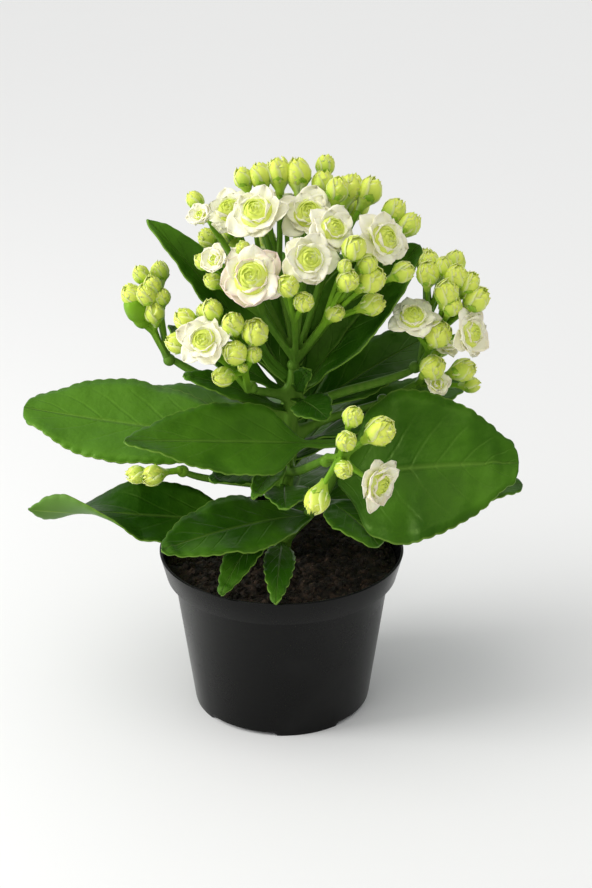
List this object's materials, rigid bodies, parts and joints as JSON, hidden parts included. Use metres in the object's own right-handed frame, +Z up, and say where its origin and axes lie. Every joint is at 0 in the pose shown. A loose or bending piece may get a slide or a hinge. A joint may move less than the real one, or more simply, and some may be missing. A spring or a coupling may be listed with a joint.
{
  "type": "potted kalanchoe",
  "caption": "Succulent pot plant with broad toothed leaves and domed heads of double flowers and buds, in a round tapered nursery pot.",
  "frame": {"origin": "centre of the pot's flat underside", "axes": "+Z up along the pot's axis, -Y to the plant's front, +X to its right seen from the front"},
  "size_m": [0.2133, 0.1549, 0.2395],
  "materials": {
    "pot_plastic": "satin",
    "soil": "matte",
    "stem_green": "satin",
    "bud_green": "satin",
    "petal_white": "satin",
    "leaf_green": "satin"
  },
  "bodies": {
    "root": {"flower_back": "petal_white", "flower_front": "petal_white", "flower_front_left": "petal_white", "flower_front_low": "petal_white", "flower_left": "petal_white", "flower_left_end": "petal_white", "flower_left_mid": "petal_white", "flower_left_small": "petal_white", "flower_right": "petal_white", "flower_right_behind": "petal_white", "flower_right_shaded": "petal_white", "flower_right_side": "petal_white", "flower_right_upper": "petal_white", "flower_top": "petal_white", "flower_top_left": "petal_white", "flower_top_right": "petal_white", "head_front": "bud_green", "head_left_far": "bud_green", "head_left_low": "bud_green", "head_left_mid": "bud_green", "head_main": "bud_green", "head_right": "bud_green", "head_right_lower": "bud_green", "leaf_back_left": "leaf_green", "leaf_back_left_up": "leaf_green", "leaf_back_low": "leaf_green", "leaf_back_middle": "leaf_green", "leaf_back_right": "leaf_green", "leaf_back_right_low": "leaf_green", "leaf_back_right_up": "leaf_green", "leaf_back_upright": "leaf_green", "leaf_front_dark": "leaf_green", "leaf_front_inner": "leaf_green", "leaf_front_left": "leaf_green", "leaf_front_low": "leaf_green", "leaf_front_right": "leaf_green", "leaf_front_small": "leaf_green", "leaf_front_top": "leaf_green", "leaf_front_yellow": "leaf_green", "leaf_left_bottom": "leaf_green", "leaf_left_bright": "leaf_green", "leaf_left_cover": "leaf_green", "leaf_left_inner": "leaf_green", "leaf_left_pale": "leaf_green", "leaf_left_top": "leaf_green", "leaf_left_upright": "leaf_green", "leaf_right_back": "leaf_green", "leaf_right_behind": "leaf_green", "leaf_right_big": "leaf_green", "leaf_right_dark": "leaf_green", "leaf_right_inner": "leaf_green", "leaf_right_middle": "leaf_green", "leaf_right_upright": "leaf_green", "leaf_rim_front": "leaf_green", "leaf_rim_left": "leaf_green", "leaf_upper_right": "leaf_green", "pot": "pot_plastic", "soil": "soil", "stem": "stem_green"}
  },
  "joints": []
}
